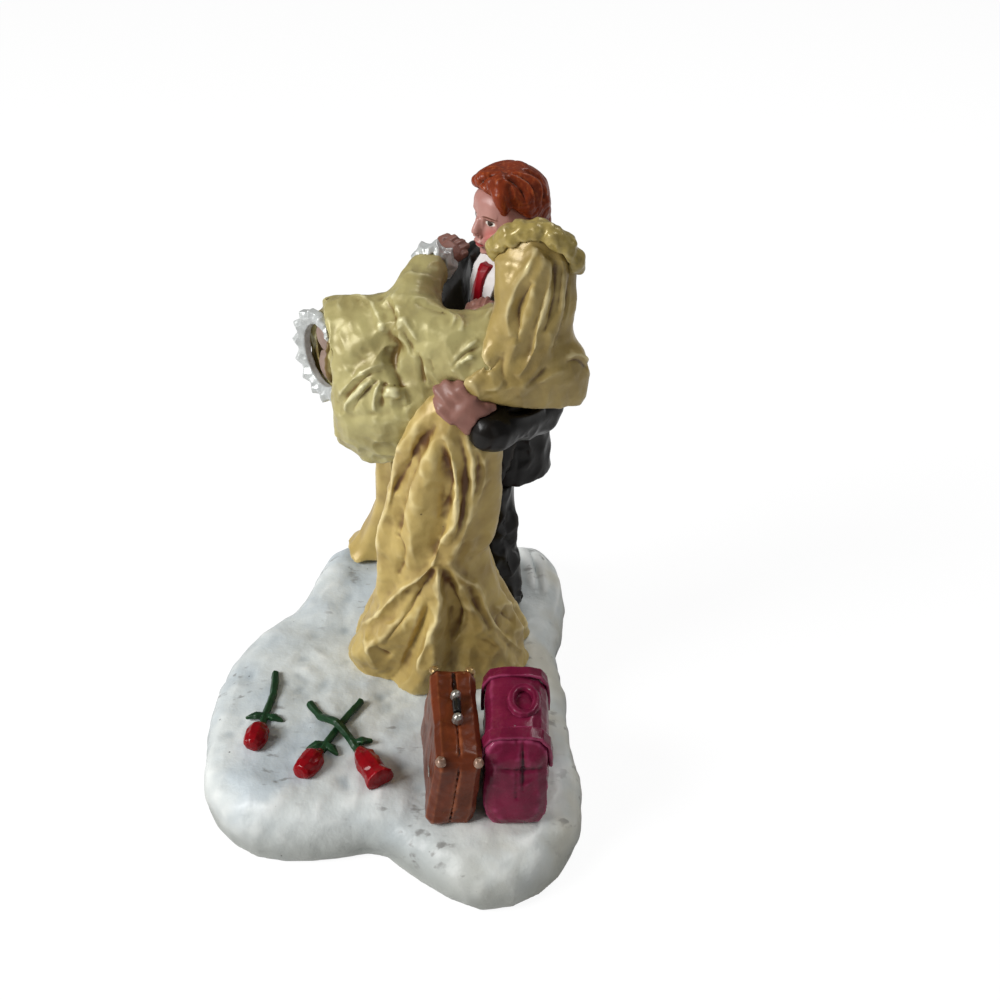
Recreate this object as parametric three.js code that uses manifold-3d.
// A wedding cake topper: a groom carries his bride over a snowy base, with two pieces of luggage and three
// roses beside them. Cast and painted pieces, glued together. Millimetres, Z up. The origin is under the middle
// of the topper at the base's underside, and -Y is the side that the luggage faces.
import * as THREE from "three";
import { mergeVertices } from "three/addons/utils/BufferGeometryUtils.js";
import Module from "manifold-3d";

const wasm = await Module();
wasm.setup();

// Driving dimensions, in millimetres unless a name says otherwise.

// Glue line between two castings, and how finely their skins are kept
const GLUE_GAP = 0.3;
const SKIN_TOLERANCE = 0.1;
const ROOM_TOLERANCE = 0.2;
const SLIVER = 0.04;

// Snow base
const BASE_WIDTH = 62;
const BASE_DEPTH = 79;
const SNOW_LEVEL = 9;
const RIM_ROUND = 5;
const RIM_DROP = 6;

// Where the groom stands, and which way he faces, turned from -Y towards -X
const STAND_X = 16.8;
const STAND_Y = 19.5;
const FACING_DEGREES = 55;

// Groom
const LEG_LENGTH = 39.2;
const TORSO_LENGTH = 25;
const HIP_SPREAD = 2.8;
const THIGH_RADIUS = 4.2;
const KNEE_RADIUS = 3.5;
const KNEE_BEND = 4;
const TROUSER_HEM_RADIUS = 3.7;
const SHOE_LENGTH = 9;
const SHOE_WIDTH = 4.4;
const SHOE_HEIGHT = 3;
const SHOULDER_SPREAD = 7.6;
const CHEST_HALF_WIDTH = 8.4;
const CHEST_HALF_DEPTH = 6;
const JACKET_BELOW_HIP = 10;
const JACKET_HEM_FLARE = 0.6;
const SLEEVE_RADIUS = 4;
const SLEEVE_CUFF_RADIUS = 3.2;
const GROOM_HEAD_HEIGHT = 11.6;
const GROOM_HEAD_WIDTH = 9.2;
const GROOM_HEAD_DEPTH = 10.8;
const GROOM_NECK_RADIUS = 2.7;
const GROOM_NECK_LENGTH = 4.2;
const GROOM_HAIR_THICKNESS = 0.9;
const GROOM_LEAN_BACK = 4.2;
const COLLAR_THICKNESS = 0.9;
const COLLAR_HEIGHT = 2.2;
const SHIRT_PROUD = 0.35;
const TIE_PROUD = 0.8;
const HAND_LENGTH = 9.5;
const HAND_WIDTH = 6.4;
const HAND_THICKNESS = 3.2;

// Bride
const BRIDE_HEAD_HEIGHT = 10.4;
const BRIDE_HEAD_WIDTH = 8;
const BRIDE_HEAD_DEPTH = 9.4;
const BRIDE_NECK_RADIUS = 2.1;
const BRIDE_HAIR_THICKNESS = 0.5;
const BRIDE_SLEEVE_RADIUS = 3.9;
const BRIDE_WRIST_RADIUS = 2.5;
const BRIDE_HAND_LENGTH = 7;
const BRIDE_HAND_WIDTH = 4.2;
const BRIDE_HAND_THICKNESS = 2.4;
const CUFF_LACE_RADIUS = 3.4;
const CUFF_LACE_WIDTH = 2.6;
const HEM_HALF_WIDTH = 5.8;
const HEM_HALF_HEIGHT = 6.2;
const HEM_LACE_WIDTH = 2.2;
const HEM_WALL = 1.1;
const HEM_DEPTH = 5.4;
const CROWN_RADIUS = 1.6;
const CROWN_BLOSSOMS = 7;
const CROWN_SWELL = 0.3;

// Train and the fall of the skirt behind it
const TRAIN_HEM_HALF_WIDTH = 15.4;
const TRAIN_HEM_HALF_DEPTH = 9.4;
const TRAIN_BACK = { pleats: 9, depth: 0.12 };
const VEIL_BACK = { pleats: 7, depth: 0.06 };
const FOLD_FADE = 0.08;
const FALL_RADIUS = 3;
const FALL_FOOT_RADIUS = 5.4;

// Luggage
const BROWN_CASE = { length: 19.4, height: 15, thickness: 6.6, round: 1.6 };
const BROWN_CASE_LEAN_DEGREES = 8;
const BROWN_CASE_TURN_DEGREES = 5;
const PINK_CASE = { length: 21, height: 14.8, thickness: 9.6 };
const PINK_CASE_END_ROUND = 1.6;
const PINK_CASE_SQUARENESS = 4.5;
const PINK_CASE_AHEAD = 0.9;
const PINK_CASE_FRONT_SLOPE = 4;
const LUGGAGE_SPACING = 2;
const LUGGAGE_LEFT_X = 6.9;
const LUGGAGE_FRONT_Y = -29.8;
const LUGGAGE_SINK = 0.6;
const SEAM_WIDTH = 0.5;
const SEAM_DEPTH = 0.45;
const GRIP_LENGTH = 4.6;
const GRIP_RADIUS = 0.55;
const GRIP_POST_RADIUS = 0.8;
const CASE_CORNER_RADIUS = 1;
const CLASP_LENGTH = 2.6;
const STRAP_WIDTH = 2.2;
const STRAP_THICKNESS = 0.45;
const HANDLE_LOOP_LENGTH = 5.4;
const HANDLE_LOOP_WIDTH = 3.8;
const HANDLE_LOOP_RADIUS = 0.75;

// Roses
const STEM_RADIUS = 0.62;
const STEM_CROSSING = 1.4;
const BLOOM_RADIUS = 1.9;
const LEAF_LENGTH = 3;
const LEAF_WIDTH = 1.5;
const ROSE_SINK = 0.25;

// Materials

function paint(color, roughness, metalness = 0) {
  return new THREE.MeshStandardMaterial({ color, roughness, metalness });
}

const PAINT = {
  snow: paint(0xe6e8e6, 0.45),
  dress: paint(0xd8ca8e, 0.4),
  veil: paint(0xcfc088, 0.4),
  lace: paint(0xdcdcdc, 0.3),
  skin: paint(0xc08c7c, 0.5),
  suit: paint(0x1c1a18, 0.35),
  shirt: paint(0xe8e6e2, 0.5),
  tie: paint(0xa80f2a, 0.4),
  auburn: paint(0x8c3a1c, 0.45),
  brownCase: paint(0x84482c, 0.35),
  pinkCase: paint(0x96265e, 0.3),
  silver: paint(0xc9c4bc, 0.25, 0.8),
  gold: paint(0xb98a52, 0.3, 0.6),
  black: paint(0x141414, 0.4),
  rose: paint(0xa80f22, 0.2),
  stem: paint(0x1d3a28, 0.35),
};

// Points, curves and closed skins

const vec = (x, y, z) => new THREE.Vector3(x, y, z);
const radians = THREE.MathUtils.degToRad;
const lerp = THREE.MathUtils.lerp;
const UP = vec(0, 0, 1);

/** A closed skin through rings of equally many points. A fan to its mean point closes each end. */
function skin(rings) {
  const sides = rings[0].length;
  const points = rings.flat();
  const middle = (ring) => ring.reduce((sum, p) => sum.add(p), vec(0, 0, 0)).divideScalar(sides);
  const first = points.push(middle(rings[0])) - 1;
  const last = points.push(middle(rings[rings.length - 1])) - 1;
  const index = [];
  for (let side = 0; side < sides; side++) {
    const next = (side + 1) % sides;
    for (let ring = 0; ring < rings.length - 1; ring++) {
      const low = ring * sides;
      const high = low + sides;
      index.push(low + side, low + next, high + next, low + side, high + next, high + side);
    }
    const end = (rings.length - 1) * sides;
    index.push(first, next, side, last, end + side, end + next);
  }
  return facingOut(points, index);
}

/** A closed tube-like skin whose last ring joins its first. */
function wreath(rings) {
  const sides = rings[0].length;
  const index = [];
  rings.forEach((ring, i) => {
    const low = i * sides;
    const high = ((i + 1) % rings.length) * sides;
    for (let side = 0; side < sides; side++) {
      const next = (side + 1) % sides;
      index.push(low + side, low + next, high + next, low + side, high + next, high + side);
    }
  });
  return facingOut(rings.flat(), index);
}

/** Geometry from points and triangles, turned round if its faces point inwards. */
function facingOut(points, index) {
  let volume = 0;
  for (let i = 0; i < index.length; i += 3) {
    const [a, b, c] = [points[index[i]], points[index[i + 1]], points[index[i + 2]]];
    volume += a.dot(b.clone().cross(c));
  }
  const faces = volume < 0 ? index.slice().reverse() : index;
  return new THREE.BufferGeometry().setFromPoints(points).setIndex(faces);
}

const DOME_ANGLES = [45, 80];
const SMALL_DOME_ANGLES = [62];

/**
 * A skin swept along a smooth line through the points of path. wide and deep are the half sizes of the
 * section at each point, deep along up. round gives the length of the dome on each end, and domes the angles
 * of its rings. fold is the share by which the section swells at an angle and a place along the path from
 * 0 to 1.
 */
function sweep({
  path,
  wide,
  deep = wide,
  up = UP,
  sides = 12,
  steps = 3,
  round = [0, 0],
  domes = DOME_ANGLES,
  fold = () => 0,
}) {
  const line = new THREE.CatmullRomCurve3(path, false, "catmullrom", 0.5);
  const halves = path.map((_, i) => vec(wide[i], deep[i], 0));
  const sizes = new THREE.CatmullRomCurve3(halves, false, "catmullrom", 0.5);
  const ringAt = (t, scale, ahead) => {
    const along = line.getTangent(t);
    const across = up.clone().cross(along).normalize();
    const over = along.clone().cross(across);
    const size = sizes.getPoint(t);
    const centre = line.getPoint(t).addScaledVector(along, ahead);
    return Array.from({ length: sides }, (_, i) => {
      const angle = (2 * Math.PI * i) / sides;
      const swell = scale * (1 + fold(angle, t));
      return centre
        .clone()
        .addScaledVector(across, Math.cos(angle) * size.x * swell)
        .addScaledVector(over, Math.sin(angle) * size.y * swell);
    });
  };
  const dome = (t, length) =>
    domes.map((degrees) => ringAt(t, Math.cos(radians(degrees)), length * Math.sin(radians(degrees))));
  const count = steps * (path.length - 1);
  const body = Array.from({ length: count + 1 }, (_, i) => ringAt(i / count, 1, 0));
  const start = round[0] > 0 ? dome(0, -round[0]).reverse() : [];
  const end = round[1] > 0 ? dome(1, round[1]) : [];
  return skin([...start, ...body, ...end]);
}

/** An ellipsoid with its half sizes along X, Y and Z. */
function ball(centre, size, sides = 8, rows = 5) {
  return new THREE.SphereGeometry(1, sides, rows)
    .scale(size.x, size.y, size.z)
    .translate(centre.x, centre.y, centre.z);
}

/** A ring of ruffled lace: a flat band round an ellipse, whose outer edge waves in and out. */
function ruffle({ centre, normal, up, half, width, thickness, waves, lift, steps = 4 }) {
  const side = up.clone().cross(normal).normalize();
  const over = normal.clone().cross(side).normalize();
  const count = waves * steps;
  const rings = Array.from({ length: count }, (_, i) => {
    const angle = (2 * Math.PI * i) / count;
    const wave = Math.cos(waves * angle);
    const out = side.clone().multiplyScalar(Math.cos(angle)).addScaledVector(over, Math.sin(angle));
    const edge = centre
      .clone()
      .addScaledVector(side, Math.cos(angle) * half[0])
      .addScaledVector(over, Math.sin(angle) * half[1]);
    const at = (away, ahead) => edge.clone().addScaledVector(out, away).addScaledVector(normal, ahead);
    const far = width * (0.85 + 0.15 * wave);
    const rise = lift + 0.35 * thickness * wave;
    return [
      at(0, -thickness / 2),
      at(far * 0.6, rise - thickness),
      at(far, rise * 1.4 - thickness / 2),
      at(far * 0.95, rise * 1.4 + thickness / 2),
      at(far * 0.5, rise + thickness),
      at(0, thickness / 2),
    ];
  });
  return wreath(rings);
}

/** A closed rope round an ellipse, pinched into beads by a share of its radius. */
function garland({ centre, normal, half, radius, beads, pinch, sides = 6 }) {
  const side = vec(0, 1, 0).cross(normal).normalize();
  const over = normal.clone().cross(side).normalize();
  const count = 2 * beads;
  const rings = Array.from({ length: count }, (_, i) => {
    const angle = (2 * Math.PI * i) / count;
    const out = side.clone().multiplyScalar(Math.cos(angle)).addScaledVector(over, Math.sin(angle));
    const middle = centre
      .clone()
      .addScaledVector(side, Math.cos(angle) * half[0])
      .addScaledVector(over, Math.sin(angle) * half[1]);
    const thick = radius * (i % 2 ? 1 - pinch : 1);
    return Array.from({ length: sides }, (_, k) => {
      const around = (2 * Math.PI * k) / sides;
      return middle
        .clone()
        .addScaledVector(out, thick * Math.cos(around))
        .addScaledVector(normal, thick * Math.sin(around));
    });
  });
  return wreath(rings);
}

/** A board with a rounded rectangular face in X and Y and a bevelled edge, its thickness along Z from 0. */
function roundedBoard(width, height, thickness, round, bevel) {
  const [w, h] = [width / 2 - bevel, height / 2 - bevel];
  const r = Math.min(round, w, h);
  const face = new THREE.Shape();
  face.moveTo(-w + r, -h);
  face.lineTo(w - r, -h);
  face.absarc(w - r, -h + r, r, -Math.PI / 2, 0);
  face.lineTo(w, h - r);
  face.absarc(w - r, h - r, r, 0, Math.PI / 2);
  face.lineTo(-w + r, h);
  face.absarc(-w + r, h - r, r, Math.PI / 2, Math.PI);
  face.lineTo(-w, -h + r);
  face.absarc(-w + r, -h + r, r, Math.PI, 1.5 * Math.PI);
  return new THREE.ExtrudeGeometry(face, {
    depth: thickness - 2 * bevel,
    bevelEnabled: true,
    bevelThickness: bevel,
    bevelSize: bevel,
    bevelSegments: 1,
    curveSegments: 3,
  }).translate(0, 0, bevel);
}

// Joining and cutting

const SAME_FACING = 0.95; // cosine above which two faces count as one facing
const SHARPEST_SLANT = 0.6; // cosine that limits how far a sharp edge moves out

/** A closed geometry as a solid that can be joined and cut. */
function solid(geometry) {
  const bare = new THREE.BufferGeometry().setAttribute("position", geometry.getAttribute("position"));
  bare.setIndex(geometry.index);
  const merged = mergeVertices(bare, 1e-4);
  return new wasm.Manifold(
    new wasm.Mesh({
      numProp: 3,
      vertProperties: new Float32Array(merged.attributes.position.array),
      triVerts: new Uint32Array(merged.index.array),
    }),
  );
}

/** A solid's surface as geometry. */
function geometryOf(shape) {
  const mesh = shape.getMesh();
  return new THREE.BufferGeometry()
    .setAttribute("position", new THREE.BufferAttribute(new Float32Array(mesh.vertProperties), 3))
    .setIndex(new THREE.BufferAttribute(new Uint32Array(mesh.triVerts), 1));
}

const join = (...geometries) => geometries.map(solid).reduce((whole, shape) => whole.add(shape));

/** A solid whose faces have all moved out by a distance, so that its edges stay sharp. */
function grown(shape, by) {
  const geometry = geometryOf(shape);
  const corners = geometry.index.array;
  const spots = geometry.attributes.position;
  const points = Array.from({ length: spots.count }, (_, i) => vec(0, 0, 0).fromBufferAttribute(spots, i));
  const facings = points.map(() => []);
  for (let i = 0; i < corners.length; i += 3) {
    const [a, b, c] = [points[corners[i]], points[corners[i + 1]], points[corners[i + 2]]];
    const facing = b.clone().sub(a).cross(c.clone().sub(a)).normalize();
    for (const known of [0, 1, 2].map((k) => facings[corners[i + k]])) {
      if (known.every((other) => other.dot(facing) < SAME_FACING)) known.push(facing);
    }
  }
  points.forEach((point, i) => {
    const out = facings[i].reduce((sum, facing) => sum.add(facing), vec(0, 0, 0)).normalize();
    const slant = Math.min(...facings[i].map((facing) => facing.dot(out)));
    point.addScaledVector(out, by / Math.max(slant, SHARPEST_SLANT));
    spots.setXYZ(i, point.x, point.y, point.z);
  });
  return solid(geometry);
}

/** The largest of the bodies that a solid falls into. */
function largestBody(shape) {
  return shape.decompose().reduce((best, body) => (body.volume() > best.volume() ? body : best));
}

const meet = (a, b) => [0, 1, 2].every((axis) => a.min[axis] < b.max[axis] && b.min[axis] < a.max[axis]);

const cutBy = (shape, others) =>
  others.reduce(
    (rest, other) => (meet(rest.boundingBox(), other.boundingBox()) ? rest.subtract(other) : rest),
    shape,
  );

const topper = new THREE.Group();
const rooms = []; // each piece in place with its glue line round it
const cores = []; // each piece in place with a third of its glue line

/** Adds a piece to a group. It is cut back by a glue gap from every piece that is already in place. */
function place(group, name, shape, material) {
  group.updateWorldMatrix(true, false);
  const whole = shape.transform(group.matrixWorld.elements);
  const smooth = cutBy(whole, rooms).simplify(SKIN_TOLERANCE);
  const piece = largestBody(cutBy(smooth, cores).simplify(SLIVER));
  rooms.push(grown(piece, GLUE_GAP).simplify(ROOM_TOLERANCE));
  cores.push(grown(piece, GLUE_GAP / 3).add(piece));
  const back = group.matrixWorld.clone().invert();
  const mesh = new THREE.Mesh(geometryOf(piece).applyMatrix4(back), material);
  mesh.name = name;
  group.add(mesh);
  return mesh;
}

// Snow base

// Outline in shares of half the width and half the depth, anticlockwise from the front lobe
const SNOW_OUTLINE = [
  [0.5, -1], [0.81, -0.91], [0.97, -0.71], [1, -0.5], [0.95, -0.2], [0.91, 0.08], [0.9, 0.25], [0.94, 0.46],
  [0.95, 0.68], [0.84, 0.88], [0.58, 0.97], [0.16, 0.98], [-0.26, 0.99], [-0.48, 0.89], [-0.56, 0.68],
  [-0.65, 0.51], [-0.87, 0.33], [-1, -0.02], [-1, -0.35], [-0.9, -0.6], [-0.65, -0.76], [-0.32, -0.78],
  [-0.03, -0.75], [0.16, -0.86],
];

// Drifts on the snow: place in shares of the half sizes, height, and reach in millimetres
const SNOW_DRIFTS = [
  { at: [0.76, 0.62], height: 2.6, reach: 10 },
  { at: [-0.2, 0.78], height: 1.2, reach: 11 },
  { at: [-0.55, -0.2], height: 0.9, reach: 15 },
  { at: [0.45, -0.78], height: -1, reach: 12 },
];

/** Height of the snow above the table at a place on the base. */
function snowHeight(x, y) {
  return SNOW_DRIFTS.reduce((height, drift) => {
    const dx = x - (drift.at[0] * BASE_WIDTH) / 2;
    const dy = y - (drift.at[1] * BASE_DEPTH) / 2;
    return height + drift.height * Math.exp(-(dx * dx + dy * dy) / (drift.reach * drift.reach));
  }, SNOW_LEVEL);
}

const onSnow = (x, y, above = 0) => vec(x, y, snowHeight(x, y) + above);

/** Points of the outline at the base's real size, with its box centred on the origin. */
function snowEdge(count) {
  const corners = SNOW_OUTLINE.map(([x, y]) => vec(x, y, 0));
  const curve = new THREE.CatmullRomCurve3(corners, true, "catmullrom", 0.5);
  const points = curve.getPoints(count).slice(0, count);
  const box = new THREE.Box3().setFromPoints(points);
  const size = box.getSize(vec(0, 0, 0));
  const middle = box.getCenter(vec(0, 0, 0));
  return points.map((p) => p.sub(middle).multiply(vec(BASE_WIDTH / size.x, BASE_DEPTH / size.y, 0)));
}

function snowBase() {
  const edge = snowEdge(54);
  const inwards = (p, inset) => p.clone().setLength(Math.max(p.length() - inset, 0.5));
  const flat = (inset, z) => edge.map((p) => inwards(p, inset).setZ(z));
  const rolled = (inset) =>
    edge.map((p) => {
      const q = inwards(p, inset);
      const share = Math.max(1 - inset / RIM_ROUND, 0);
      return q.setZ(snowHeight(q.x, q.y) - RIM_DROP * (1 - Math.sqrt(1 - share * share)));
    });
  const inner = (share) =>
    edge.map((p) => {
      const q = p.clone().multiplyScalar(share);
      return onSnow(q.x, q.y);
    });
  const rim = [0, 0.12, 0.45, 1].map((share) => rolled(share * RIM_ROUND));
  return solid(skin([flat(1.6, 0), flat(0.4, 0.9), ...rim, inner(0.66), inner(0.34)]));
}

place(topper, "snow_base", snowBase(), PAINT.snow);

// Luggage

/** A box from its lowest and highest corners. */
function block(low, high) {
  const size = high.clone().sub(low);
  const middle = low.clone().addScaledVector(size, 0.5);
  return new THREE.BoxGeometry(size.x, size.y, size.z).translate(middle.x, middle.y, middle.z);
}

/** A stiff case standing on its long edge: thickness along X, length along Y from 0, height along Z from 0. */
const stiffCase = ({ length, height, thickness, round }, bevel) =>
  roundedBoard(length, height, thickness, round, bevel)
    .rotateX(Math.PI / 2)
    .rotateZ(Math.PI / 2)
    .translate(0, length / 2, height / 2);

/** A soft bag in the same place, with a rounded box section and a front that slopes back towards the top. */
function softBag({ length, height, thickness }, frontSlope) {
  const n = PINK_CASE_SQUARENESS;
  const [start, end] = [PINK_CASE_END_ROUND, length - PINK_CASE_END_ROUND];
  const body = sweep({
    path: [0, 0.25, 0.5, 0.75, 1].map((share) => {
      return vec(thickness / 2, THREE.MathUtils.lerp(start, end, share), height / 2);
    }),
    wide: [0.94, 1, 0.97, 1, 0.94].map((share) => (share * thickness) / 2),
    deep: [0.97, 1, 0.98, 1, 0.95].map((share) => (share * height) / 2),
    sides: 28,
    steps: 2,
    round: [PINK_CASE_END_ROUND, PINK_CASE_END_ROUND],
    fold: (angle) => (Math.abs(Math.cos(angle)) ** n + Math.abs(Math.sin(angle)) ** n) ** (-1 / n) - 1,
  });
  const points = body.attributes.position;
  for (let i = 0; i < points.count; i++) {
    const share = (points.getZ(i) / height) * (1 - points.getY(i) / length);
    points.setY(i, points.getY(i) + frontSlope * share);
  }
  return body;
}

/** A group that stands a case on the snow, its left side at x and its front ahead of the luggage's front. */
function standingCase(x, size, ahead) {
  const group = new THREE.Group();
  const middleY = LUGGAGE_FRONT_Y + size.length / 2;
  group.position.set(x, LUGGAGE_FRONT_Y - ahead, snowHeight(x + size.thickness / 2, middleY) - LUGGAGE_SINK);
  topper.add(group);
  return group;
}

function brownCase() {
  const { length, height, thickness } = BROWN_CASE;
  const group = standingCase(LUGGAGE_LEFT_X, BROWN_CASE, 0);
  group.rotation.set(0, radians(BROWN_CASE_LEAN_DEGREES), radians(BROWN_CASE_TURN_DEGREES), "ZYX");
  const middle = thickness / 2;
  const body = solid(stiffCase(BROWN_CASE, 0.8));
  const [seamLeft, seamRight] = [middle - SEAM_WIDTH / 2, middle + SEAM_WIDTH / 2];
  const seam = join(
    block(vec(seamLeft, -1, height - SEAM_DEPTH), vec(seamRight, length + 1, height + 1)),
    block(vec(seamLeft, -1, -1), vec(seamRight, SEAM_DEPTH, height + 1)),
    block(vec(seamLeft, length - SEAM_DEPTH, -1), vec(seamRight, length + 1, height + 1)),
  );
  place(group, "brown_case_body", body.subtract(seam), PAINT.brownCase);

  const gripMiddle = length * 0.52;
  const gripHeight = height + GLUE_GAP + GRIP_RADIUS * 1.2;
  const post = (y) =>
    solid(
      sweep({
        path: [vec(middle, y, height + GLUE_GAP), vec(middle, y, gripHeight + GRIP_RADIUS * 0.6)],
        wide: [GRIP_POST_RADIUS, GRIP_POST_RADIUS * 0.85],
        up: vec(0, 1, 0),
        sides: 8,
        steps: 1,
        round: [0, GRIP_POST_RADIUS * 0.5],
        domes: SMALL_DOME_ANGLES,
      }),
    );
  place(group, "brown_case_grip_post_front", post(gripMiddle - GRIP_LENGTH / 2), PAINT.silver);
  place(group, "brown_case_grip_post_back", post(gripMiddle + GRIP_LENGTH / 2), PAINT.silver);
  const gripHalf = GRIP_LENGTH / 2 - GRIP_POST_RADIUS - GLUE_GAP;
  const grip = sweep({
    path: [-1, 0, 1].map((share) => vec(middle, gripMiddle + share * gripHalf, gripHeight)),
    wide: [GRIP_RADIUS, GRIP_RADIUS * 1.2, GRIP_RADIUS],
    sides: 8,
    steps: 2,
  });
  place(group, "brown_case_grip", solid(grip), PAINT.black);

  const corner = (x, y) => {
    const r = CASE_CORNER_RADIUS;
    return solid(ball(vec(x, y, height - 0.6), vec(r, r, r), 6, 4));
  };
  place(group, "brown_case_corner_front_left", corner(0.6, 0.7), PAINT.gold);
  place(group, "brown_case_corner_front_right", corner(thickness - 0.6, 0.7), PAINT.gold);
  place(group, "brown_case_corner_back_left", corner(0.6, length - 0.7), PAINT.gold);
  place(group, "brown_case_corner_back_right", corner(thickness - 0.6, length - 0.7), PAINT.gold);

  const clasp = roundedBoard(CLASP_LENGTH, 1.4, 1.2, 0.5, 0.25)
    .rotateX(Math.PI / 2)
    .rotateZ(Math.PI / 2)
    .translate(-0.5, length * 0.22, height * 0.55);
  place(group, "brown_case_side_clasp", solid(clasp), PAINT.black);
}

function pinkCase() {
  const { length, height, thickness } = PINK_CASE;
  const left = LUGGAGE_LEFT_X + BROWN_CASE.thickness + LUGGAGE_SPACING;
  const group = standingCase(left, PINK_CASE, PINK_CASE_AHEAD);
  const middle = thickness / 2;
  const body = solid(softBag(PINK_CASE, PINK_CASE_FRONT_SLOPE));
  const deep = grown(body, -SEAM_DEPTH);
  const [zipLeft, zipRight] = [middle - SEAM_WIDTH / 2, middle + SEAM_WIDTH / 2];
  const zip = solid(block(vec(zipLeft, -1, height * 0.4), vec(zipRight, length * 0.4, height + 1)));
  place(group, "pink_case_body", body.subtract(zip.subtract(deep)), PAINT.pinkCase);

  const band = (y, low) => {
    const slice = solid(block(vec(-2, y, low), vec(thickness + 2, y + STRAP_WIDTH, height + 2)));
    return grown(body, STRAP_THICKNESS + GLUE_GAP).intersect(slice);
  };
  place(group, "pink_case_front_strap", band(PINK_CASE_FRONT_SLOPE * 1.3, height * 0.6), PAINT.pinkCase);
  place(group, "pink_case_back_strap", band(length * 0.84, height * 0.5), PAINT.pinkCase);

  const loop = garland({
    centre: vec(thickness * 0.62, length * 0.6, height + HANDLE_LOOP_RADIUS * 0.5),
    normal: UP,
    half: [HANDLE_LOOP_WIDTH / 2, HANDLE_LOOP_LENGTH / 2],
    radius: HANDLE_LOOP_RADIUS,
    beads: 7,
    pinch: 0,
  });
  place(group, "pink_case_handle", solid(loop), PAINT.pinkCase);
}

brownCase();
pinkCase();

// The couple, in a frame at the groom's standing point on the snow

const couple = new THREE.Group();
couple.position.copy(onSnow(STAND_X, STAND_Y));
topper.add(couple);

const FRONT = vec(-Math.sin(radians(FACING_DEGREES)), -Math.cos(radians(FACING_DEGREES)), 0);
const LEFT = UP.clone().cross(FRONT);
const SHOULDER_LEVEL = LEG_LENGTH + TORSO_LENGTH;

/** A point by its distance to the groom's left, to his front and above the snow, with his lean back added. */
function groomPoint(left, front, above) {
  const lean = (GROOM_LEAN_BACK * above) / SHOULDER_LEVEL;
  return vec(0, 0, above).addScaledVector(LEFT, left).addScaledVector(FRONT, front - lean);
}

/** A point by its offset from the middle of the groom's shoulders, where the bride is carried. */
const carried = (x, y, z) => vec(x, y, SHOULDER_LEVEL + z);

/** A limb of straight stretches with round ends, as one solid. */
function limb(points, radii, sides = 10) {
  const stretches = points.slice(1).map((end, i) =>
    sweep({
      path: [points[i], points[i].clone().lerp(end, 0.5), end],
      wide: [radii[i], (radii[i] + radii[i + 1]) / 2, radii[i + 1]],
      up: FRONT.clone().addScaledVector(UP, 0.3),
      sides,
      steps: 1,
      round: [radii[i] * 0.9, radii[i + 1] * 0.9],
    }),
  );
  return join(...stretches);
}

/** A hand: a flat palm from the wrist, four fingers that curl from knuckle to tip, and a thumb. */
function hand({ wrist, reach, across, curl, length, width, thickness }) {
  const flat = across.clone().cross(reach).normalize();
  const at = (share, side, lift) =>
    wrist
      .clone()
      .addScaledVector(reach, share * length)
      .addScaledVector(across, side * width)
      .addScaledVector(flat, lift * thickness);
  const palm = sweep({
    path: [at(-0.05, 0, 0), at(0.25, 0, 0), at(0.55, 0, 0)],
    wide: [width * 0.3, width * 0.45, width * 0.44],
    deep: [thickness * 0.45, thickness * 0.5, thickness * 0.4],
    up: flat,
    sides: 8,
    steps: 1,
    round: [thickness * 0.4, thickness * 0.3],
    domes: SMALL_DOME_ANGLES,
  });
  const fingers = [-0.36, -0.12, 0.12, 0.36].map((side) => {
    const reachEnd = 1 - 0.5 * Math.abs(side + 0.05);
    return sweep({
      path: [at(0.5, side, 0.05), at(0.75, side * 0.97, 0.02 + curl * 0.3), at(reachEnd, side * 0.9, curl)],
      wide: [width * 0.13, width * 0.13, width * 0.1],
      up: flat,
      sides: 5,
      steps: 1,
      round: [0, width * 0.1],
      domes: SMALL_DOME_ANGLES,
    });
  });
  const thumb = sweep({
    path: [at(0.15, 0.3, 0), at(0.4, 0.56, curl * 0.3), at(0.62, 0.58, curl * 0.6)],
    wide: [width * 0.17, width * 0.14, width * 0.1],
    up: flat,
    sides: 5,
    steps: 1,
    round: [0, width * 0.1],
    domes: SMALL_DOME_ANGLES,
  });
  return join(palm, ...fingers, thumb);
}

// Rings of a head from the chin up, in shares of its height, half width, and depth to front and back
const HEAD_RINGS = [
  { up: 0.0, wide: 0.24, front: 0.64, back: -0.28 },
  { up: 0.06, wide: 0.48, front: 0.78, back: 0 },
  { up: 0.22, wide: 0.76, front: 0.85, back: 0.4 },
  { up: 0.4, wide: 0.93, front: 0.86, back: 0.84 },
  { up: 0.56, wide: 0.98, front: 0.87, back: 1.0 },
  { up: 0.74, wide: 0.98, front: 0.88, back: 0.98 },
  { up: 0.88, wide: 0.78, front: 0.68, back: 0.82 },
  { up: 0.97, wide: 0.44, front: 0.38, back: 0.46 },
  { up: 1.0, wide: 0.16, front: 0.14, back: 0.16 },
];

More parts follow.
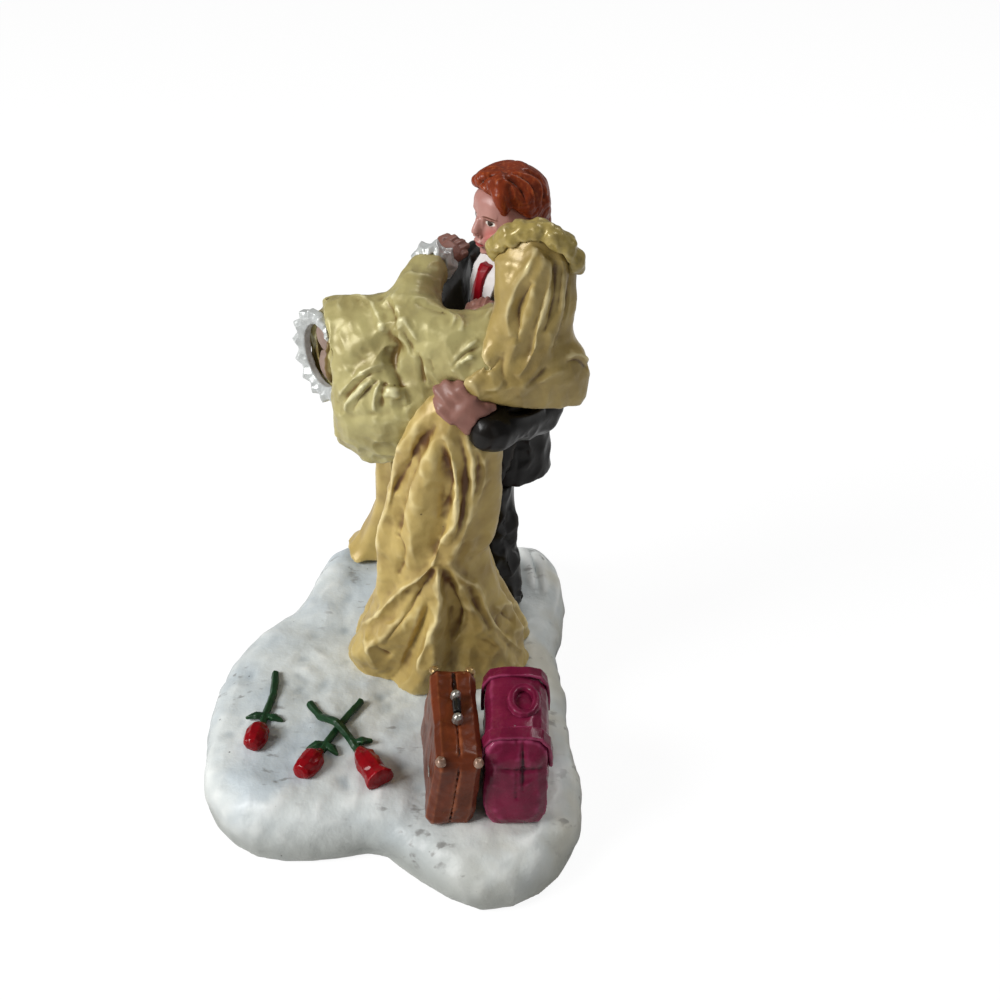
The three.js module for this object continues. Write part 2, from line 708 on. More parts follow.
/** A head that faces -Y, its chin at the origin: a plain face, a neck, and ears on the sides that show them. */
function head({ height, width, depth, neckRadius, neckLength, ears }) {
  const sides = 12;
  const rings = HEAD_RINGS.map((ring) =>
    Array.from({ length: sides }, (_, i) => {
      const angle = (2 * Math.PI * i) / sides;
      const [c, s] = [Math.cos(angle), Math.sin(angle)];
      const reach = s < 0 ? ring.front : ring.back;
      return vec((c * ring.wide * width) / 2, (s * reach * depth) / 2, ring.up * height);
    }),
  );
  const face = (x, forward, up) => vec((x * width) / 2, (-forward * depth) / 2, up * height);
  const size = (x, y, z) => vec(x * width, y * depth, z * height);
  const nose = sweep({
    path: [face(0, 0.8, 0.54), face(0, 0.92, 0.4), face(0, 0.97, 0.345)],
    wide: [0.035 * width, 0.055 * width, 0.07 * width],
    up: vec(0, -1, 0),
    sides: 6,
    steps: 1,
    round: [0.03 * height, 0.03 * height],
    domes: SMALL_DOME_ANGLES,
  });
  const neck = sweep({
    path: [vec(0, 0.1 * depth, -neckLength), vec(0, 0.08 * depth, 0), vec(0, 0.06 * depth, 0.2 * height)],
    wide: [neckRadius * 1.15, neckRadius, neckRadius],
    up: vec(0, -1, 0),
    sides: 10,
    steps: 1,
  });
  const skull = join(
    skin(rings),
    nose,
    neck,
    ball(face(0, 0.86, 0.215), size(0.16, 0.05, 0.035), 8, 4),
    ...ears.map((side) => ball(face(side, -0.08, 0.43), size(0.06, 0.09, 0.11), 6, 4)),
  );
  const hollows = join(
    ball(face(0.42, 0.98, 0.5), size(0.14, 0.09, 0.045), 8, 4),
    ball(face(-0.42, 0.98, 0.5), size(0.14, 0.09, 0.045), 8, 4),
  );
  return skull.subtract(hollows);
}

/** Turns a head's solid to a heading in degrees from -Y towards -X and moves its chin to a point. */
function turnedHead(shape, chin, headingDegrees) {
  const matrix = new THREE.Matrix4().makeRotationZ(-radians(headingDegrees)).setPosition(chin);
  return shape.transform(matrix.elements);
}

/** A cap of hair round a head, with wavy locks, cut off along a slope from the brow down to the nape. */
function hair({ height, width, depth, thickness, locks, lockDepth, nape, brow, sides }) {
  const levels = [nape, 0.6, 0.78, 0.9, 1.0];
  const crown = (up) => Math.sqrt(Math.max(1 - Math.pow(Math.max(up - 0.6, 0) / 0.44, 2), 0.03));
  const rings = levels.map((up) =>
    Array.from({ length: sides }, (_, i) => {
      const angle = (2 * Math.PI * i) / sides;
      const lock = 1 + lockDepth * Math.cos(locks * angle + 9 * up);
      const wide = (width / 2 + thickness) * crown(up) * lock;
      const deep = (depth / 2 + thickness) * crown(up) * lock;
      return vec(Math.cos(angle) * wide, Math.sin(angle) * deep, up * (height + thickness));
    }),
  );
  const slope = Math.atan2((brow - nape) * height, depth);
  const below = new THREE.BoxGeometry(4 * width, 4 * depth, 4 * height)
    .translate(0, 0, -2 * height)
    .rotateX(-slope)
    .translate(0, -0.42 * depth, brow * height);
  return solid(skin(rings)).subtract(solid(below));
}

// Groom

const GROOM_HEADING = FACING_DEGREES + 2;
const groomChin = groomPoint(0, 1.7, SHOULDER_LEVEL + GROOM_NECK_LENGTH - 1);

const groomHead = turnedHead(
  head({
    height: GROOM_HEAD_HEIGHT,
    width: GROOM_HEAD_WIDTH,
    depth: GROOM_HEAD_DEPTH,
    neckRadius: GROOM_NECK_RADIUS,
    neckLength: GROOM_NECK_LENGTH,
    ears: [-1, 1],
  }),
  groomChin,
  GROOM_HEADING,
);

const jacketCore = solid(
  sweep({
    path: [
      groomPoint(0, 0, LEG_LENGTH - JACKET_BELOW_HIP),
      groomPoint(0, 0, LEG_LENGTH),
      groomPoint(0, 0, LEG_LENGTH + 0.5 * TORSO_LENGTH),
      groomPoint(0, 0.4, LEG_LENGTH + 0.78 * TORSO_LENGTH),
      groomPoint(0, 0.2, SHOULDER_LEVEL),
      groomPoint(0, 0.2, SHOULDER_LEVEL + 2.4),
    ],
    wide: [0.86, 0.84, 0.86, 1.02, 0.95, 0.5].map((share) => share * CHEST_HALF_WIDTH),
    deep: [1.12, 1.04, 0.94, 1.04, 0.9, 0.6].map((share) => share * CHEST_HALF_DEPTH),
    up: FRONT,
    sides: 16,
    steps: 2,
    round: [0, 1],
    fold: (angle, t) => (t < 0.2 ? JACKET_HEM_FLARE * (0.2 - t) * (1 + 0.4 * Math.cos(5 * angle)) : 0),
  }),
);

/** A flat outline across the groom's chest, extruded from its middle to the front. */
function chestPrism(outline) {
  const shape = new THREE.Shape(outline.map(([left, above]) => new THREE.Vector2(left, above)));
  const prism = new THREE.ExtrudeGeometry(shape, { depth: 2 * CHEST_HALF_DEPTH, bevelEnabled: false });
  const frame = new THREE.Matrix4().makeBasis(LEFT, UP, FRONT);
  return solid(prism.applyMatrix4(frame.setPosition(groomPoint(0, 0.5, SHOULDER_LEVEL))));
}

const SHIRT_OUTLINE = [[-3.2, 3.5], [-2.6, -2], [-0.5, -9.5], [0.5, -9.5], [2.6, -2], [3.2, 3.5]];
const TIE_OUTLINE = [
  [-0.9, 1.6], [-0.6, -0.1], [-1.15, -6.5], [0, -8.2], [1.15, -6.5], [0.6, -0.1], [0.9, 1.6],
];

const collar = sweep({
  path: [groomPoint(0, 0.9, SHOULDER_LEVEL + 1.2), groomPoint(0, 1.1, SHOULDER_LEVEL + 1.2 + COLLAR_HEIGHT)],
  wide: [1.5, 1].map((share) => GROOM_NECK_RADIUS + share * COLLAR_THICKNESS),
  deep: [1.6, 1].map((share) => GROOM_NECK_RADIUS + share * COLLAR_THICKNESS),
  up: FRONT,
  sides: 10,
  steps: 1,
});

/** A thick lock of the groom's hair through points in shares of his head's width, depth and height. */
const lock = (...points) =>
  sweep({
    path: points.map(([x, y, z]) =>
      vec(x * GROOM_HEAD_WIDTH, y * GROOM_HEAD_DEPTH, z * (GROOM_HEAD_HEIGHT + GROOM_HAIR_THICKNESS)),
    ),
    wide: [1.3, 1.1, 0.6].map((share) => share * GROOM_HAIR_THICKNESS),
    up: vec(0, -1, 0.4),
    sides: 7,
    steps: 2,
    round: [0.4, 0.4],
    domes: SMALL_DOME_ANGLES,
  });
const groomHair = turnedHead(
  hair({
    height: GROOM_HEAD_HEIGHT,
    width: GROOM_HEAD_WIDTH,
    depth: GROOM_HEAD_DEPTH,
    thickness: GROOM_HAIR_THICKNESS,
    locks: 9,
    lockDepth: 0.05,
    nape: 0.22,
    brow: 0.93,
    sides: 18,
  }).add(
    join(
      lock([0.2, -0.2, 0.95], [-0.06, -0.36, 0.91], [-0.3, -0.34, 0.84]),
      lock([0.2, -0.22, 0.96], [0.4, -0.34, 0.84], [0.46, -0.3, 0.66]),
    ),
  ),
  groomChin,
  GROOM_HEADING,
);
const groomTie = grown(jacketCore, TIE_PROUD).intersect(chestPrism(TIE_OUTLINE));
const groomShirt = grown(jacketCore, SHIRT_PROUD).intersect(chestPrism(SHIRT_OUTLINE)).add(solid(collar));

/** The slit up the middle of the jacket's back, from its hem. */
const jacketVent = solid(
  sweep({
    path: [
      groomPoint(0, -2 * CHEST_HALF_DEPTH, LEG_LENGTH - JACKET_BELOW_HIP - 1),
      groomPoint(0, -0.9 * CHEST_HALF_DEPTH, LEG_LENGTH),
    ],
    wide: [0.5, 0.1],
    deep: [CHEST_HALF_DEPTH, 0.6],
    up: FRONT,
    sides: 8,
    steps: 1,
  }),
);

const shoe = (side, front) =>
  solid(
    sweep({
      path: [
        groomPoint(side, front - 0.35 * SHOE_LENGTH, 0.4 * SHOE_HEIGHT),
        groomPoint(side, front, 0.4 * SHOE_HEIGHT),
        groomPoint(side * 1.1, front + 0.55 * SHOE_LENGTH, 0.25 * SHOE_HEIGHT),
      ],
      wide: [0.42, 0.45, 0.48].map((share) => share * SHOE_WIDTH),
      deep: [0.55, 0.6, 0.4].map((share) => share * SHOE_HEIGHT),
      sides: 8,
      steps: 1,
      round: [0.1 * SHOE_LENGTH, 0.12 * SHOE_LENGTH],
    }),
  );
const LEFT_FOOT = { side: HIP_SPREAD + 0.2, front: 0.6 };
const RIGHT_FOOT = { side: -HIP_SPREAD - 0.8, front: 2.2 };

/** One trouser leg from the hip to the shoe, with creases round the knee and the ankle. */
const trouserLeg = (side, foot) =>
  sweep({
    path: [
      groomPoint(side, 2, LEG_LENGTH),
      groomPoint(side, KNEE_BEND, 0.72 * LEG_LENGTH),
      groomPoint(lerp(side, foot.side, 0.5), lerp(KNEE_BEND, foot.front, 0.25), 0.46 * LEG_LENGTH),
      groomPoint(foot.side, lerp(KNEE_BEND, foot.front, 0.8), 0.2 * LEG_LENGTH),
      groomPoint(foot.side, foot.front, 0.35 * SHOE_HEIGHT),
    ],
    wide: [THIGH_RADIUS, THIGH_RADIUS, KNEE_RADIUS, TROUSER_HEM_RADIUS * 0.95, TROUSER_HEM_RADIUS],
    up: FRONT,
    sides: 9,
    steps: 3,
    fold: (angle, t) => 0.07 * Math.sin(30 * t + 2 * Math.cos(angle)) * t,
  });
const groomTrousers = join(trouserLeg(HIP_SPREAD, LEFT_FOOT), trouserLeg(-HIP_SPREAD, RIGHT_FOOT));

const groomLeft = {
  shoulder: groomPoint(SHOULDER_SPREAD, 0, SHOULDER_LEVEL - 2.5),
  elbow: carried(6.6, -10, -17),
  wrist: carried(-0.4, -20, -14.2),
};
const groomRight = {
  shoulder: groomPoint(-SHOULDER_SPREAD, 0, SHOULDER_LEVEL - 2.5),
  elbow: carried(-8.5, 12.5, -16.5),
  wrist: carried(-16.5, 8.2, -14.6),
};
const sleeve = ({ shoulder, elbow, wrist }) =>
  limb([shoulder, elbow, wrist], [SLEEVE_RADIUS * 1.05, SLEEVE_RADIUS, SLEEVE_CUFF_RADIUS]);

const groomLeftHand = hand({
  wrist: groomLeft.wrist,
  reach: vec(-0.72, 0.06, 0.67).normalize(),
  across: vec(0.68, 0.2, 0.7).normalize(),
  curl: -0.55,
  length: HAND_LENGTH,
  width: HAND_WIDTH,
  thickness: HAND_THICKNESS,
});
const groomRightHand = hand({
  wrist: groomRight.wrist,
  reach: vec(-0.8, -0.5, 0.34).normalize(),
  across: vec(0.3, 0.1, 0.95).normalize(),
  curl: 0.55,
  length: HAND_LENGTH,
  width: HAND_WIDTH,
  thickness: HAND_THICKNESS,
});

// Bride: she sits across the groom's arms, facing the way of his right side

const BRIDE_HEADING = 128;
const bride = {
  chin: carried(5.4, -10.4, 0.5),
  neck: carried(5.2, -10.9, -0.9),
  shoulders: carried(2.8, -11.2, -3),
  chest: carried(-0.2, -11.2, -5.4),
  waist: carried(-4.4, -10.8, -8.8),
  hips: carried(-9, -10, -12.2),
  leftShoulder: carried(0.4, -14.8, -6.6),
  leftElbow: carried(-11.6, -9.6, -2.1),
  leftWrist: carried(-8.8, 1.8, 0.7),
  rightElbow: carried(2.8, -7.8, -9),
  rightWrist: carried(-1.9, -8.6, -4.2),
};
const BRIDE_LEFT = FRONT;

const brideHead = turnedHead(
  head({
    height: BRIDE_HEAD_HEIGHT,
    width: BRIDE_HEAD_WIDTH,
    depth: BRIDE_HEAD_DEPTH,
    neckRadius: BRIDE_NECK_RADIUS,
    neckLength: 3,
    ears: [],
  }),
  bride.chin,
  BRIDE_HEADING,
);
const brideHair = turnedHead(
  hair({
    height: BRIDE_HEAD_HEIGHT,
    width: BRIDE_HEAD_WIDTH,
    depth: BRIDE_HEAD_DEPTH,
    thickness: BRIDE_HAIR_THICKNESS,
    locks: 6,
    lockDepth: 0.03,
    nape: -0.15,
    brow: 0.8,
    sides: 12,
  }),
  bride.chin,
  BRIDE_HEADING,
);

const forearm = (elbow, wrist) => wrist.clone().sub(elbow).normalize();
const leftReach = forearm(bride.leftElbow, bride.leftWrist);
const rightReach = vec(0.1, 0.35, 0.93).normalize();
const brideLeftHand = hand({
  wrist: bride.leftWrist.clone().addScaledVector(leftReach, 0.6),
  reach: vec(0.7, 0.7, 0.14).normalize(),
  across: vec(-0.42, 0.72, 0.55).normalize(),
  curl: 0.3,
  length: BRIDE_HAND_LENGTH,
  width: BRIDE_HAND_WIDTH,
  thickness: BRIDE_HAND_THICKNESS,
});
const brideRightHand = hand({
  wrist: bride.rightWrist.clone().addScaledVector(rightReach, 0.4),
  reach: rightReach,
  across: vec(-0.8, 0.58, -0.13).normalize(),
  curl: 0.3,
  length: BRIDE_HAND_LENGTH * 0.55,
  width: BRIDE_HAND_WIDTH,
  thickness: BRIDE_HAND_THICKNESS,
});

const cuff = (wrist, reach) =>
  solid(
    ruffle({
      centre: wrist,
      normal: reach,
      up: vec(0.2, 0.3, 0.9),
      half: [BRIDE_WRIST_RADIUS * 0.7, BRIDE_WRIST_RADIUS * 0.7],
      width: CUFF_LACE_RADIUS - BRIDE_WRIST_RADIUS * 0.7,
      thickness: CUFF_LACE_WIDTH * 0.45,
      waves: 8,
      lift: CUFF_LACE_WIDTH * 0.12,
      steps: 3,
    }),
  );

const bodice = solid(
  sweep({
    path: [bride.hips, bride.waist, bride.chest, bride.shoulders, bride.neck],
    wide: [6.6, 5, 5.8, 5.4, 2.2],
    deep: [6.4, 4.6, 5.2, 4.2, 2.2],
    up: BRIDE_LEFT.clone().cross(forearm(bride.hips, bride.shoulders)),
    sides: 12,
    steps: 2,
    round: [3, 0.6],
  }),
);
const brideLeftSleeve = solid(
  sweep({
    path: [
      bride.leftShoulder,
      bride.leftShoulder.clone().lerp(bride.leftElbow, 0.5).add(vec(0, -0.6, -1.6)),
      bride.leftElbow.clone().add(vec(0.4, 0, -1)),
      bride.leftElbow.clone().lerp(bride.leftWrist, 0.4).add(vec(-0.6, 0, 0.4)),
      bride.leftWrist,
    ],
    wide: [1.05, 1.1, 1, 0.84, 0.64].map((share) => share * BRIDE_SLEEVE_RADIUS),
    deep: [1.2, 1.5, 1.25, 0.9, 0.64].map((share) => share * BRIDE_SLEEVE_RADIUS),
    sides: 14,
    steps: 2,
    round: [2.4, 1.4],
    fold: (angle, t) => 0.04 * Math.sin(5 * angle + 9 * t),
  }),
);
const brideRightSleeve = limb(
  [bride.rightElbow, bride.rightWrist],
  [BRIDE_SLEEVE_RADIUS * 0.8, BRIDE_WRIST_RADIUS],
  8,
);

// The skirt ends at an upright rim. Its lining reaches out of it, longest on the far side, and carries
// the lace.
const rim = {
  centre: carried(-24.5, -4.2, -10.4),
  normal: vec(-0.985, -0.17, 0).normalize(),
};
const hem = {
  centre: carried(-24.8, -4.6, -10.9),
  normal: vec(-0.8, -0.6, 0.05).normalize(),
};
const skirtBulk = solid(
  sweep({
    path: [
      carried(-5.6, -11.4, -11.6),
      carried(-10.4, -10, -14.2),
      carried(-16, -7.4, -15.2),
      carried(-20.6, -5.4, -12.2),
      carried(-24.4, -4.4, -10.6),
      carried(-30, -3.4, -10.4),
    ],
    wide: [5.2, 7.6, 8.6, 8, 7, HEM_HALF_WIDTH],
    deep: [5.6, 9.2, 12.8, 12.6, 8.4, HEM_HALF_HEIGHT],
    sides: 18,
    steps: 2,
    round: [3, 0],
    fold: (angle, t) => 0.035 * Math.sin(6 * angle + 5 * t) * t,
  }),
);

/** A thick slab that lies ahead of the plane of a rim. */
function aheadOf({ centre, normal }) {
  const slab = new THREE.BoxGeometry(BASE_WIDTH, BASE_WIDTH, BASE_WIDTH).translate(0, 0, BASE_WIDTH / 2);
  const turn = new THREE.Quaternion().setFromUnitVectors(UP, normal);
  return solid(slab.applyQuaternion(turn).translate(centre.x, centre.y, centre.z));
}

/** An oval tube along the hem's axis, from one distance ahead of the hem to another. */
const alongHem = (from, to, inset) =>
  solid(
    sweep({
      path: [from, to].map((ahead) => hem.centre.clone().addScaledVector(hem.normal, ahead)),
      wide: [HEM_HALF_WIDTH - inset, HEM_HALF_WIDTH - inset],
      deep: [HEM_HALF_HEIGHT - inset, HEM_HALF_HEIGHT - inset],
      sides: 14,
      steps: 1,
    }),
  );
const brideSkirt = skirtBulk
  .subtract(aheadOf(rim))
  .add(alongHem(-HEM_DEPTH, 0, 0))
  .subtract(alongHem(-HEM_DEPTH, 1, HEM_WALL));

const calf = (side) =>
  sweep({
    path: [-HEM_DEPTH, -2.6, -0.3].map((ahead) =>
      hem.centre
        .clone()
        .addScaledVector(hem.normal, ahead)
        .addScaledVector(UP, side * 2.6),
    ),
    wide: [3, 3.4, 3.2],
    deep: [2.8, 2.9, 2.7],
    sides: 10,
    steps: 1,
    round: [0.6, 0.8],
  });

const hemLace = solid(
  ruffle({
    centre: hem.centre.clone().addScaledVector(hem.normal, GLUE_GAP + 0.6),
    normal: hem.normal,
    up: UP,
    half: [HEM_HALF_WIDTH - HEM_WALL, HEM_HALF_HEIGHT - HEM_WALL],
    width: HEM_LACE_WIDTH,
    thickness: 0.8,
    waves: 14,
    lift: 0.3,
    steps: 3,
  }),
);

// Hanging cloth

/** How far a fold of hanging cloth stands out at a share of the way down and a share across. */
function foldAt({ rise, half, line }, down, across) {
  const [start, end] = [line[0][0], line.at(-1)[0]];
  const fade = THREE.MathUtils.smoothstep(Math.min(down - start, end - down), -FOLD_FADE / 2, FOLD_FADE);
  const after = line.findIndex(([level]) => level >= down);
  const next = after < 0 ? line.length - 1 : Math.max(1, after);
  const [[fromLevel, from], [toLevel, to]] = [line[next - 1], line[next]];
  const middle = THREE.MathUtils.mapLinear(down, fromLevel, toLevel, from, to);
  return rise * fade * Math.exp(-(((across - middle) / half) ** 2));
}

/** The folds of a hanging cloth: its own main ones in front, and even pleats behind. */
function draped(folds, back) {
  return (angle, down) => {
    const facing = THREE.MathUtils.smoothstep(Math.sin(angle), -0.25, 0.1);
    const front = folds.reduce((sum, fold) => sum + foldAt(fold, down, Math.cos(angle)), 0);
    const behind = back.depth * Math.sin(back.pleats * angle) * (0.35 + 0.65 * down);
    return front * facing + behind * (1 - facing);
  };
}

// Train: a gathered fall of cloth from under the groom's left hand to the snow

const snowUnder = (x, y) => onSnow(STAND_X + x, STAND_Y + y).sub(couple.position);
const trainFoot = snowUnder(-8.8, -13.6);
const trainTop = carried(-4.6, -17, -12);
const trainAt = (share, aside) => trainTop.clone().lerp(trainFoot, share).add(vec(aside, -0.4, 0));

// Its main folds, drawn in at the pinch under the knee and fanned out again over the snow: each runs down
// the front through shares of the height and of the half width, with its rise and half width as shares of
// the section
const TRAIN_FOLDS = [
  { name: "left panel", rise: 0.13, half: 0.2, line: [[0, -0.4], [0.36, -0.48], [0.56, -0.56]] },
  { name: "left hollow", rise: -0.17, half: 0.11, line: [[0.06, -0.6], [0.2, -0.74], [0.46, -0.88]] },
  { name: "left edge", rise: 0.1, half: 0.1, line: [[0, -0.95], [0.3, -1], [0.7, -0.98]] },
  {
    name: "long crest",
    rise: 0.17,
    half: 0.12,
    line: [[0.04, -0.22], [0.28, 0.14], [0.45, 0.3], [0.54, 0.12], [0.67, -0.34], [0.82, -0.74], [0.96, -1]],
  },
  { name: "middle hollow", rise: -0.2, half: 0.1, line: [[0.1, -0.16], [0.28, 0.02], [0.47, 0.04]] },
  { name: "right crest", rise: 0.11, half: 0.1, line: [[0.06, 0.22], [0.25, 0.48], [0.43, 0.6], [0.58, 0.28]] },
  { name: "right panel", rise: 0.09, half: 0.16, line: [[0.05, 0.8], [0.3, 0.9], [0.5, 0.85]] },
  { name: "middle pleat", rise: 0.2, half: 0.12, line: [[0.56, 0.02], [0.78, -0.05], [1, -0.33]] },
  { name: "pleat's left", rise: -0.22, half: 0.11, line: [[0.58, -0.05], [0.7, -0.28], [1, -0.66]] },
  { name: "pleat's right", rise: -0.22, half: 0.12, line: [[0.58, 0.14], [0.68, 0.27], [1, 0.04]] },
  { name: "fanned crest", rise: 0.15, half: 0.11, line: [[0.56, 0.26], [0.69, 0.6], [0.82, 0.66], [1, 0.9]] },
  { name: "right hollow", rise: -0.09, half: 0.1, line: [[0.6, 0.5], [0.76, 0.8], [1, 0.99]] },
];

const train = sweep({
  path: [
    trainTop,
    trainAt(0.12, -0.6),
    trainAt(0.37, -1.5),
    trainAt(0.49, -2.4),
    trainAt(0.67, -1.3),
    trainAt(0.85, -0.5),
    trainFoot,
  ],
  wide: [0.3, 0.44, 0.52, 0.52, 0.62, 0.86, 1].map((share) => share * TRAIN_HEM_HALF_WIDTH),
  deep: [0.33, 0.43, 0.51, 0.53, 0.64, 0.84, 1].map((share) => share * TRAIN_HEM_HALF_DEPTH),
  up: vec(0, -1, 0),
  sides: 54,
  steps: 3,
  round: [2, 0],
  fold: draped(TRAIN_FOLDS, TRAIN_BACK),
});

// Fall of the skirt behind the train, down to a pool of cloth on the snow

const fallFoot = snowUnder(-22.6, 13.4);
const fall = sweep({
  path: [
    carried(-17, 1, -19),
    carried(-17.2, 7.4, -32),
    fallFoot.clone().add(vec(4.4, -1.8, 13)),
    fallFoot.clone().add(vec(1, -0.4, 2.4)),
    fallFoot.clone().add(vec(0, 0, -0.6)),
  ],
  wide: [FALL_RADIUS * 1.3, FALL_RADIUS, FALL_RADIUS, FALL_RADIUS * 1.2, FALL_FOOT_RADIUS],
  up: vec(0, -1, 0),
  sides: 15,
  steps: 2,
  fold: (angle, t) => 0.07 * Math.sin(5 * angle + 3 * t),
});

// Veil and its crown

const veilCrown = solid(
  sweep({
    path: [
      carried(0.7, -11.9, 9.4),
      carried(2.2, -12.5, 11.7),
      carried(4.3, -12.7, 12.6),
      carried(6.5, -13, 12.7),
      carried(8.7, -13.6, 11.9),
      carried(10.4, -13.3, 9.9),
      carried(11.4, -12.8, 7.8),
    ],
    wide: [0.8, 0.95, 1, 1, 1, 0.95, 0.8].map((share) => share * CROWN_RADIUS),
    deep: [0.8, 0.95, 1, 1, 1, 0.95, 0.8].map((share) => share * CROWN_RADIUS),
    sides: 10,
    steps: 4,
    round: [1.2, 1.2],
    fold: (angle, t) => CROWN_SWELL * Math.abs(Math.sin(CROWN_BLOSSOMS * Math.PI * t + Math.sin(angle))),
  }),
);
const VEIL_FOLDS = [
  { name: "left edge", rise: 0.1, half: 0.12, line: [[0.15, -0.9], [0.5, -0.92], [1, -0.9]] },
  {
    name: "left crest",
    rise: 0.15,
    half: 0.14,
    line: [[0.12, -0.1], [0.34, -0.32], [0.46, -0.52], [0.7, -0.46]],
  },
  { name: "left hollow", rise: -0.15, half: 0.12, line: [[0.24, 0], [0.42, -0.22], [0.7, -0.28]] },
  {
    name: "long crest",
    rise: 0.16,
    half: 0.13,
    line: [[0.14, 0.36], [0.32, 0.4], [0.47, 0.3], [0.73, 0], [0.9, -0.4]],
  },
  { name: "right hollow", rise: -0.13, half: 0.12, line: [[0.2, 0.62], [0.41, 0.6], [0.7, 0.3]] },
  { name: "right edge", rise: 0.08, half: 0.12, line: [[0.15, 0.82], [0.5, 0.86], [0.75, 0.8]] },
];
const veil = sweep({
  path: [
    bride.chin.clone().add(vec(0.3, 0, BRIDE_HEAD_HEIGHT + 0.7)),
    bride.chin.clone().add(vec(0.4, -0.8, BRIDE_HEAD_HEIGHT * 0.76)),
    bride.chin.clone().add(vec(0.5, -2.6, BRIDE_HEAD_HEIGHT * 0.18)),
    carried(5.2, -14, -2.8),
    carried(5.4, -15.4, -8),
    carried(4.6, -16, -11.6),
  ],
  wide: [3.8, 5.3, 5.4, 6.4, 9.2, 9],
  deep: [4, 5.6, 4.6, 4, 3.4, 2.4],
  up: vec(0.3, -0.95, 0),
  sides: 36,
  steps: 2,
  round: [0.7, 0.6],
  fold: draped(VEIL_FOLDS, VEIL_BACK),
});
const brideFace = vec(-Math.sin(radians(BRIDE_HEADING)), -Math.cos(radians(BRIDE_HEADING)), 0);
const faceMiddle = bride.chin.clone().add(vec(0, 0, 0.4 * BRIDE_HEAD_HEIGHT));
const faceOpening = ball(
  faceMiddle.addScaledVector(brideFace, 0.72 * BRIDE_HEAD_DEPTH),
  vec(0.62, 0.62, 0.56).multiplyScalar(BRIDE_HEAD_HEIGHT),
  10,
  8,
);

// The order of assembly: each piece is cut back from those above it
const COUPLE_PIECES = [
  ["groom_hair", groomHair, PAINT.auburn],
  ["groom_head", groomHead, PAINT.skin],
  ["groom_tie", groomTie, PAINT.tie],
  ["groom_shirt", groomShirt, PAINT.shirt],
  ["groom_jacket", jacketCore.subtract(jacketVent), PAINT.suit],
  ["groom_trousers", groomTrousers, PAINT.suit],
  ["groom_left_shoe", shoe(LEFT_FOOT.side, LEFT_FOOT.front), PAINT.suit],
  ["groom_right_shoe", shoe(RIGHT_FOOT.side, RIGHT_FOOT.front), PAINT.suit],
  ["groom_left_sleeve", sleeve(groomLeft), PAINT.suit],
  ["groom_right_sleeve", sleeve(groomRight), PAINT.suit],
  ["bride_hair", brideHair, PAINT.auburn],
  ["bride_head", brideHead, PAINT.skin],
  ["bride_bodice", bodice, PAINT.dress],
  ["bride_skirt", brideSkirt, PAINT.dress],
  ["bride_left_cuff", cuff(bride.leftWrist, leftReach), PAINT.lace],
  ["bride_right_cuff", cuff(bride.rightWrist, rightReach), PAINT.lace],
  ["bride_left_sleeve", brideLeftSleeve, PAINT.dress],
  ["bride_right_sleeve", brideRightSleeve, PAINT.dress],
  ["dress_train", solid(train), PAINT.dress],
  ["dress_fall", solid(fall), PAINT.dress],
  ["bride_veil", solid(veil).subtract(solid(faceOpening)), PAINT.veil],
  ["veil_crown", veilCrown, PAINT.veil],
  ["groom_left_hand", groomLeftHand, PAINT.skin],
  ["groom_right_hand", groomRightHand, PAINT.skin],
  ["bride_left_hand", brideLeftHand, PAINT.skin],
  ["bride_right_hand", brideRightHand, PAINT.skin],
  ["bride_legs", join(calf(1), calf(-1)), PAINT.skin],
  ["bride_hem_lace", hemLace, PAINT.lace],
];
for (const [name, shape, material] of COUPLE_PIECES) place(couple, name, shape, material);

// Roses

/** A leaf lying on the snow, from its stalk end along a heading in degrees. */
function leaf(start, headingDegrees) {
  const ahead = vec(Math.cos(radians(headingDegrees)), Math.sin(radians(headingDegrees)), 0);
  const at = (share, lift) => start.clone().addScaledVector(ahead, share * LEAF_LENGTH).setZ(start.z + lift);
  return sweep({
    path: [at(0, 0.1), at(0.5, 0.35), at(1, 0)],
    wide: [LEAF_WIDTH * 0.2, LEAF_WIDTH * 0.5, LEAF_WIDTH * 0.12],
    deep: [0.4, 0.45, 0.3],
    sides: 5,
    steps: 1,
    round: [0.2, 0.2],
    domes: SMALL_DOME_ANGLES,
  });
}

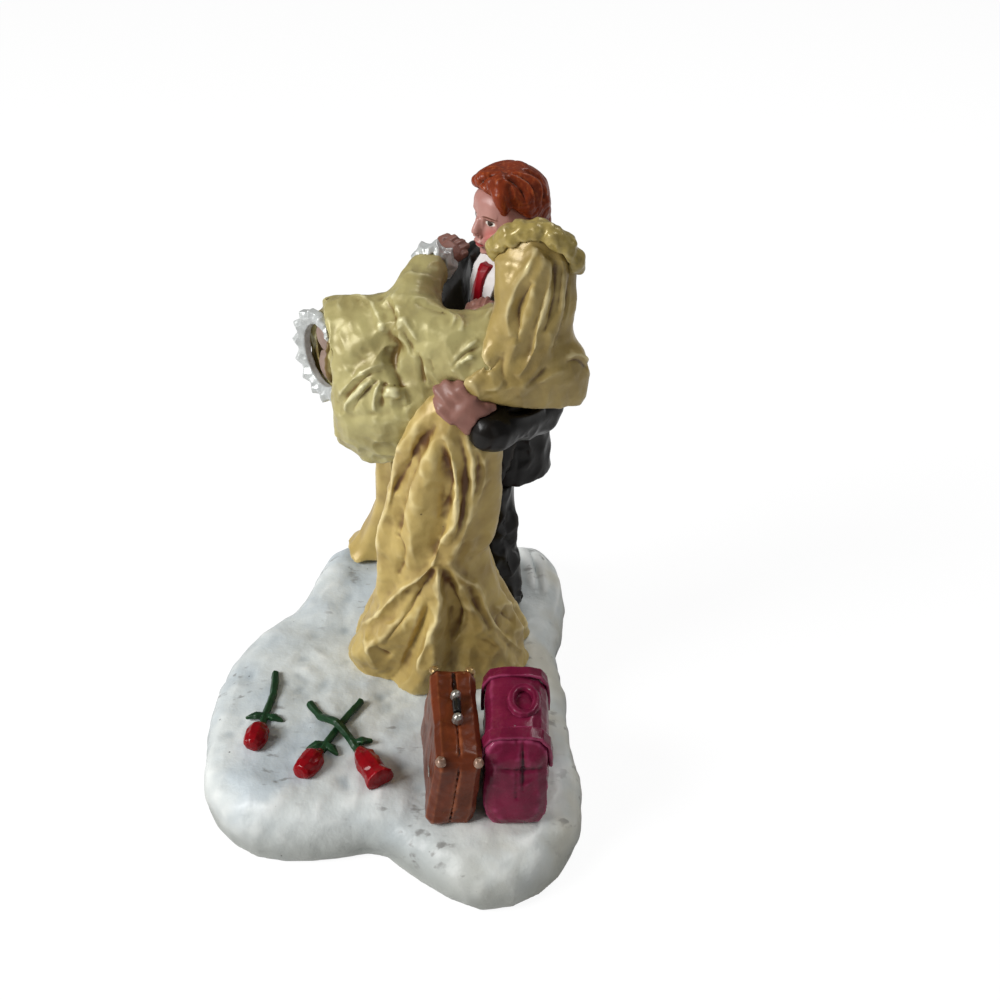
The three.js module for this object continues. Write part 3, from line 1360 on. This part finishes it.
/** A rose from places on the snow: the bloom's end, its neck and the points of the stem. */
function rose(name, { bloomEnd, neck, stem, leaves, open }) {
  const group = new THREE.Group();
  topper.add(group);
  const low = (place2d, above) => onSnow(place2d[0], place2d[1], above - ROSE_SINK);
  const tip = low(bloomEnd, BLOOM_RADIUS * 0.8);
  const base = low(neck, BLOOM_RADIUS * 0.6);
  const middle = base.clone().lerp(tip, 0.5);
  const bloom = sweep({
    path: [base, base.clone().lerp(tip, 0.28), middle, base.clone().lerp(tip, 0.8), tip],
    wide: [0.4, 0.9, 1, 0.9 + 0.1 * open, 0.7 + 0.5 * open].map((share) => share * BLOOM_RADIUS),
    sides: 10,
    steps: 1,
    round: [0.3, 0.5 - 0.3 * open],
    fold: (angle, t) => 0.14 * open * t * Math.sin(5 * angle),
  });
  place(group, name + "_bloom", solid(bloom), PAINT.rose);
  const line = [neck, ...stem].map(([x, y, lift = 0]) => low([x, y], STEM_RADIUS + lift));
  const stalk = sweep({
    path: line,
    wide: line.map(() => STEM_RADIUS),
    sides: 5,
    steps: 2,
    round: [0.2, 0.3],
    domes: SMALL_DOME_ANGLES,
  });
  const leafAt = low(leaves.at, STEM_RADIUS * 0.9);
  const whole = join(stalk, ...leaves.headings.map((heading) => leaf(leafAt, heading)));
  place(group, name + "_stem", whole, PAINT.stem);
}

const ROSES = {
  rose_left: {
    bloomEnd: [-20.9, -15.9],
    neck: [-20.2, -11.6],
    stem: [[-19.9, -9], [-19.3, -4.5], [-19.7, 0.4]],
    leaves: { at: [-19.9, -9.2], headings: [188, -22] },
    open: 0,
  },
  rose_middle: {
    bloomEnd: [-12.6, -21.2],
    neck: [-10.2, -16.9],
    stem: [[-9.4, -14.6], [-8, -11.4], [-6.4, -8.6], [-4.9, -5.8]],
    leaves: { at: [-9.6, -14.8], headings: [200, -48] },
    open: 0.1,
  },
  rose_right: {
    bloomEnd: [-0.4, -22.4],
    neck: [-4.2, -16.4],
    stem: [[-5.6, -14.2], [-8.1, -11.7, STEM_CROSSING], [-11, -9.4], [-13.1, -6.6]],
    leaves: { at: [-5.4, -14.4], headings: [5] },
    open: 1,
  },
};
for (const [name, form] of Object.entries(ROSES)) rose(name, form);

// The origin is under the middle of the whole topper
const bounds = new THREE.Box3().setFromObject(topper, true);
const middle = bounds.getCenter(vec(0, 0, 0));
topper.position.set(-middle.x, -middle.y, -bounds.min.z);

export default topper;
